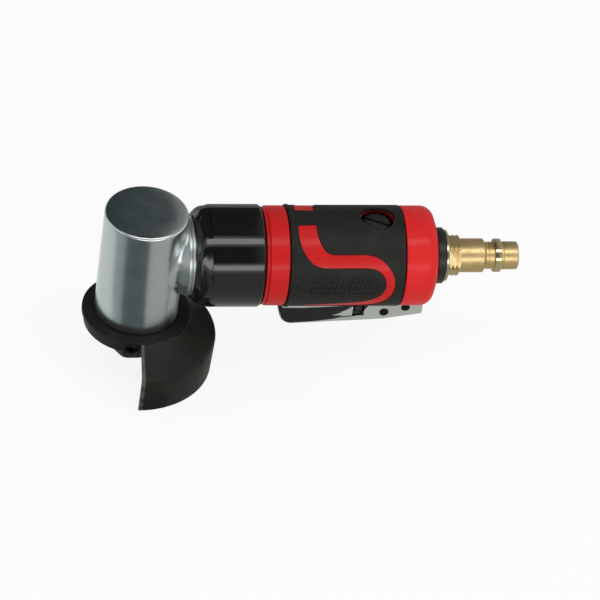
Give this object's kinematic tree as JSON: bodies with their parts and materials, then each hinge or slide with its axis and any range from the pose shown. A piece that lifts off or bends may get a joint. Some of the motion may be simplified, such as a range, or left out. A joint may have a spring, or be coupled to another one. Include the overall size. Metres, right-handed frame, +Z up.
{
  "type": "mini angle grinder",
  "caption": "Compressed-air mini angle grinder: polished angle head with half guard, rubber-gripped handle, throttle lever, air regulator and brass inlet plug.",
  "frame": {"origin": "centre of the free end face of the spindle's threaded stud", "axes": "+Z up along the spindle from its free end into the angle head, +X along the handle towards the air plug"},
  "size_m": [0.1541, 0.059, 0.0681],
  "materials": {
    "head_steel": "polished",
    "nut_black": "gloss black",
    "housing_red": "gloss red enamel",
    "grip_rubber": "matt moulded rubber",
    "guard_black": "satin black",
    "dark_steel": "blackened",
    "plain_steel": "ground",
    "lever_chrome": "bright chrome plate",
    "plug_brass": "turned brass",
    "bearing_cage": "bronze cage with steel balls",
    "bush_bronze": "sintered bronze",
    "vane_fibre": "laminated fibre",
    "black_plastic": "moulded",
    "seal_rubber": "smooth"
  },
  "bodies": {
    "handle": {"head_housing": "head_steel", "head_lock_ring": "dark_steel", "clamp_nut": "nut_black", "upper_spindle_bush": "bush_bronze", "spindle_bearing_outer_race": "plain_steel", "bearing_retainer": "dark_steel", "dust_seal": "seal_rubber", "pinion_bearing_outer_race": "plain_steel", "pinion_needle_bearing": "plain_steel", "motor_housing": "housing_red", "grip_sleeve": "grip_rubber", "front_end_plate": "plain_steel", "cylinder_liner": "plain_steel", "rear_end_plate": "plain_steel", "locating_pin": "plain_steel", "rotor_front_bearing_outer_race": "plain_steel", "rotor_rear_bearing_outer_race": "plain_steel", "lever_pivot_pin": "dark_steel", "valve_bush": "plug_brass", "valve_seat": "plug_brass", "valve_spring": "plain_steel", "regulator_snap_ring": "dark_steel", "exhaust_ring": "black_plastic", "inlet_bushing": "plain_steel", "inlet_screen": "plain_steel", "air_plug": "plug_brass"},
    "rotor_shaft": {"rotor": "plain_steel", "vane_1": "vane_fibre", "vane_2": "vane_fibre", "vane_3": "vane_fibre", "vane_4": "vane_fibre", "vane_5": "vane_fibre", "bevel_pinion": "plain_steel", "pinion_spacer": "plain_steel", "pinion_bearing_inner_race": "plain_steel", "rotor_front_bearing_inner_race": "plain_steel", "rotor_rear_bearing_inner_race": "plain_steel"},
    "rotor_balls": {"pinion_bearing_caged_balls": "bearing_cage", "rotor_front_bearing_caged_balls": "bearing_cage", "rotor_rear_bearing_caged_balls": "bearing_cage"},
    "disc_spindle": {"spindle": "plain_steel", "gear_key": "plain_steel", "driven_bevel_gear": "plain_steel", "spindle_bearing_inner_race": "plain_steel", "inner_flange": "dark_steel", "disc_nut": "dark_steel"},
    "spindle_balls": {"spindle_bearing_caged_balls": "bearing_cage"},
    "throttle": {"throttle_lever": "lever_chrome", "latch_pin": "dark_steel", "latch_spring": "plain_steel"},
    "latch": {"safety_latch": "dark_steel"},
    "valve": {"valve_stem": "plug_brass", "valve_seal": "seal_rubber"},
    "regulator": {"regulator_dial": "black_plastic", "regulator_seal": "seal_rubber"},
    "guard": {"guard_collar": "guard_black", "guard_shell": "guard_black", "guard_clamp_screw": "dark_steel"}
  },
  "joints": [
    {"name": "rotor_spin", "type": "hinge", "parent": "handle", "child": "rotor_shaft", "pos_m": [0, 0, 0.043], "axis": [1, 0, 0], "continuous": true},
    {"name": "rotor_balls_spin", "type": "hinge", "parent": "handle", "child": "rotor_balls", "pos_m": [0, 0, 0.043], "axis": [1, 0, 0], "continuous": true},
    {"name": "spindle_spin", "type": "hinge", "parent": "handle", "child": "disc_spindle", "pos_m": [0, 0, 0], "axis": [0, 0, 1], "continuous": true},
    {"name": "spindle_balls_spin", "type": "hinge", "parent": "handle", "child": "spindle_balls", "pos_m": [0, 0, 0], "axis": [0, 0, 1], "continuous": true},
    {"name": "throttle_squeeze", "type": "hinge", "parent": "handle", "child": "throttle", "pos_m": [0.096, 0, 0.0239], "axis": [0, 1, 0], "range_deg": [0, 3.5], "stiffness_Nm_per_rad": 0.5, "springref_deg": -2.86},
    {"name": "valve_lift", "type": "slide", "parent": "handle", "child": "valve", "axis": [0, 0, 1], "range_m": [0, 0.00085], "deforming": ["valve_spring"]},
    {"name": "latch_turn", "type": "hinge", "parent": "throttle", "child": "latch", "pos_m": [0.0884, 0, 0.0218], "axis": [0, 1, 0], "range_deg": [-9.01, 0]},
    {"name": "regulator_turn", "type": "hinge", "parent": "handle", "child": "regulator", "pos_m": [0.0824, 0, 0.05], "axis": [0, 0, 1], "range_deg": [-90, 90]},
    {"name": "guard_swivel", "type": "hinge", "parent": "handle", "child": "guard", "pos_m": [0, 0, 0.016], "axis": [0, 0, 1], "continuous": true}
  ],
  "couplings": [
    {"joint": "spindle_spin", "follows": "rotor_spin", "ratio": 0.66667},
    {"joint": "rotor_balls_spin", "follows": "rotor_spin", "ratio": 0.41667},
    {"joint": "spindle_balls_spin", "follows": "rotor_spin", "ratio": 0.27083},
    {"joint": "valve_lift", "follows": "throttle_squeeze", "m_per_rad": 0.0136},
    {"joint": "latch_turn", "follows": "throttle_squeeze", "ratio": -2.5714}
  ]
}
